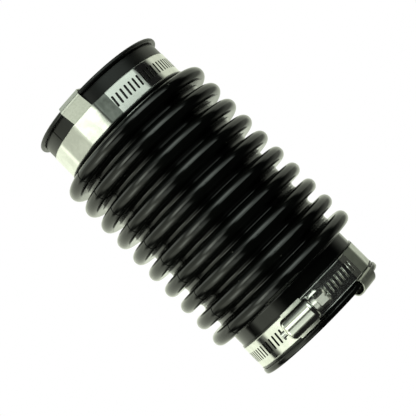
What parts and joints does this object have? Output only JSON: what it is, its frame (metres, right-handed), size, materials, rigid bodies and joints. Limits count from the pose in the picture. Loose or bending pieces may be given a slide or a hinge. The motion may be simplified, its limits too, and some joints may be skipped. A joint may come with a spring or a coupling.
{
  "type": "rubber bellows boot",
  "caption": "Convoluted rubber bellows sleeve with plain cuffs, each held by a perforated worm-drive hose clamp and fitted with a bent steel clip over its rim.",
  "frame": {"origin": "on the boot's axis at the mouth of its lower cuff", "axes": "+Z along the boot's axis from the lower cuff to the upper one; -Y is the side that shows the lower clamp's screw, and +X is to the right of it"},
  "size_m": [0.0894, 0.0947, 0.1592],
  "materials": {
    "rubber": "moulded, satin",
    "band_steel": "rolled stainless strip",
    "housing_steel": "pressed stainless, bright",
    "screw_steel": "turned, bright",
    "clip_steel": "sheared strip, dull"
  },
  "bodies": {
    "boot": {"bellows_boot": "rubber", "upper_clamp_band": "band_steel", "upper_clamp_saddle": "housing_steel", "upper_clamp_housing": "housing_steel", "upper_rim_clip": "clip_steel", "lower_clamp_band": "band_steel", "lower_clamp_saddle": "housing_steel", "lower_clamp_housing": "housing_steel", "lower_rim_clip": "clip_steel"},
    "upper_screw": {"upper_clamp_screw": "screw_steel"},
    "lower_screw": {"lower_clamp_screw": "screw_steel"}
  },
  "joints": [
    {"name": "upper_screw_turn", "type": "hinge", "parent": "boot", "child": "upper_screw", "pos_m": [0.02064, 0.03618, 0.13972], "axis": [-0.8686, 0.4955, 0], "continuous": true},
    {"name": "lower_screw_turn", "type": "hinge", "parent": "boot", "child": "lower_screw", "pos_m": [-0.00656, -0.04098, 0.0105], "axis": [0.9874, -0.1582, 0], "continuous": true}
  ]
}
